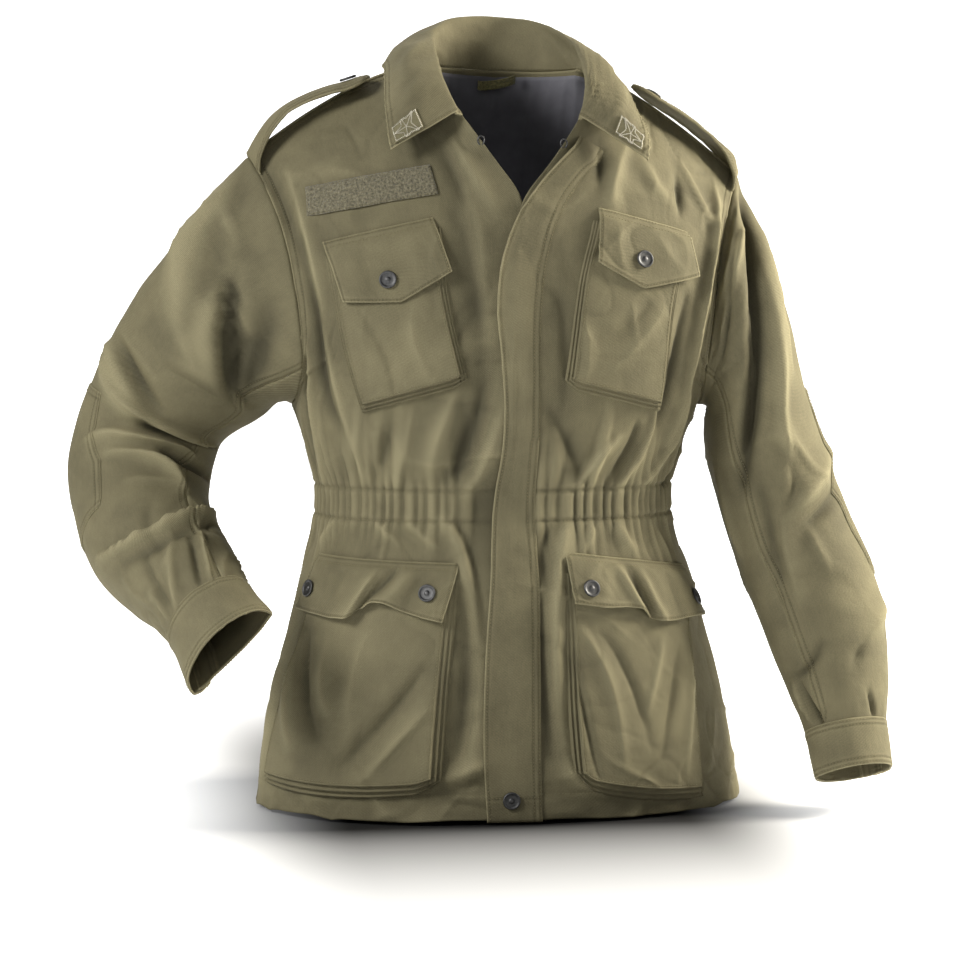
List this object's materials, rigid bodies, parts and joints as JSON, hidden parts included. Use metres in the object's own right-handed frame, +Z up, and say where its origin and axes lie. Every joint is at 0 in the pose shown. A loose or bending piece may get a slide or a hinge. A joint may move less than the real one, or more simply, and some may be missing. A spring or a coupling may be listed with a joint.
{
  "type": "field jacket",
  "caption": "Hip-length drill field jacket filled out as worn, with open collar, fly front, gathered waist, flapped bellows pockets, shoulder straps and snapped cuffs.",
  "frame": {"origin": "inside the shoulders, midway between the armhole tips, where a wearer's shoulders hold the jacket up", "axes": "+Z up, -Y to the jacket's front, +X to the wearer's left"},
  "size_m": [0.8069, 0.359, 0.7831],
  "materials": {
    "drill": "washed olive cotton drill, matte twill",
    "lining": "dark charcoal cotton lining with narrow stitched ribs, matte",
    "tape": "olive tape, woven or with short loops, matte",
    "badge": "dark cloth badge with a raised star, matte",
    "metal": "gunmetal plated, softly worn"
  },
  "bodies": {
    "root": {"back": "drill", "back_lining": "lining", "chest_flap_left": "drill", "chest_flap_right": "drill", "chest_pocket_left": "drill", "chest_pocket_right": "drill", "chest_snap_left": "metal", "chest_snap_right": "metal", "collar": "drill", "collar_badge_left": "badge", "collar_badge_right": "badge", "cuff_left": "drill", "cuff_right": "drill", "cuff_snap_left": "metal", "cuff_snap_right": "metal", "elbow_patch_left": "drill", "elbow_patch_right": "drill", "epaulette_left": "drill", "epaulette_right": "drill", "epaulette_snap_left": "metal", "epaulette_snap_right": "metal", "fly_placket": "drill", "front_left": "drill", "front_right": "drill", "hanger_loop": "tape", "lower_flap_left": "drill", "lower_flap_right": "drill", "lower_pocket_left": "drill", "lower_pocket_right": "drill", "lower_snap_inner_left": "metal", "lower_snap_inner_right": "metal", "lower_snap_outer_left": "metal", "lower_snap_outer_right": "metal", "name_tape": "tape", "neck_eye": "metal", "neck_hook": "metal", "placket_snap": "metal", "sleeve_left_under": "drill", "sleeve_left_upper": "drill", "sleeve_right_under": "drill", "sleeve_right_upper": "drill"}
  },
  "joints": []
}
